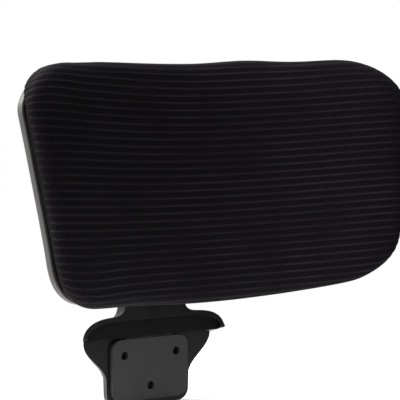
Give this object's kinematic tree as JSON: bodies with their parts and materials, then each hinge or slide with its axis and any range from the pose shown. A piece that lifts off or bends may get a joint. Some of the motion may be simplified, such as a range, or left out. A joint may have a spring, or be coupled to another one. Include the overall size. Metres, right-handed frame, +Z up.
{
  "type": "chair headrest attachment",
  "caption": "Wide wrap-around padded headrest for an office chair, tilting on a friction hinge and sliding on a neck post that bolts behind the chair's top rail.",
  "frame": {"origin": "on the foot's front face, at the middle of the foot, where it bears on the back of the chair's top rail", "axes": "+Z up along the neck post, -Y out of the foot's front face towards the sitter, X across the pad"},
  "size_m": [0.3356, 0.1437, 0.2752],
  "materials": {
    "mesh_fabric": "ribbed black spacer mesh",
    "foam": "open-cell foam",
    "grey_plastic": "satin moulded grey",
    "dark_plastic": "fine moulded texture",
    "structural_plastic": "glass-filled nylon",
    "board_plastic": "plain moulded",
    "acetal": "natural acetal",
    "zinc_steel": "zinc plated",
    "spring_steel": "spring steel",
    "bracket_steel": "black powder coat",
    "screw_steel": "black oxide"
  },
  "bodies": {
    "base": {"neck_frame": "structural_plastic", "front_cover": "dark_plastic", "rear_cover": "dark_plastic", "cover_screw_1": "screw_steel", "cover_screw_2": "screw_steel", "rack_strip": "acetal", "rack_screw_1": "screw_steel", "rack_screw_2": "screw_steel", "post_cap": "dark_plastic"},
    "carriage": {"carriage_front": "dark_plastic", "carriage_rear": "dark_plastic", "carriage_screw_1": "screw_steel", "carriage_screw_2": "screw_steel", "carriage_screw_3": "screw_steel", "carriage_screw_4": "screw_steel", "stop_pin": "screw_steel", "detent_leaf": "spring_steel", "leaf_screw_1": "screw_steel", "leaf_screw_2": "screw_steel", "glide_left": "acetal", "glide_right": "acetal", "hinge_bush_left": "acetal", "hinge_bush_right": "acetal"},
    "head": {"hinge_bracket": "bracket_steel", "hinge_pin": "zinc_steel", "lock_nut": "zinc_steel", "friction_washer_left": "spring_steel", "friction_washer_right": "spring_steel", "bracket_screw_1": "screw_steel", "bracket_screw_2": "screw_steel", "bracket_screw_3": "screw_steel", "bracket_screw_4": "screw_steel", "rear_shell": "grey_plastic", "shell_screw_1": "screw_steel", "shell_screw_2": "screw_steel", "shell_screw_3": "screw_steel", "shell_screw_4": "screw_steel", "shell_screw_5": "screw_steel", "shell_screw_6": "screw_steel", "pad_board": "board_plastic", "hem_strip": "board_plastic", "foam_pad": "foam", "mesh_cover": "mesh_fabric"}
  },
  "joints": [
    {"name": "height_slide", "type": "slide", "parent": "base", "child": "carriage", "axis": [0, 0, 1], "range_m": [0, 0.045], "deforming": ["detent_leaf"]},
    {"name": "head_tilt", "type": "hinge", "parent": "carriage", "child": "head", "pos_m": [0, -0.03, 0.154], "axis": [1, 0, 0], "range_deg": [-15, 30]}
  ]
}
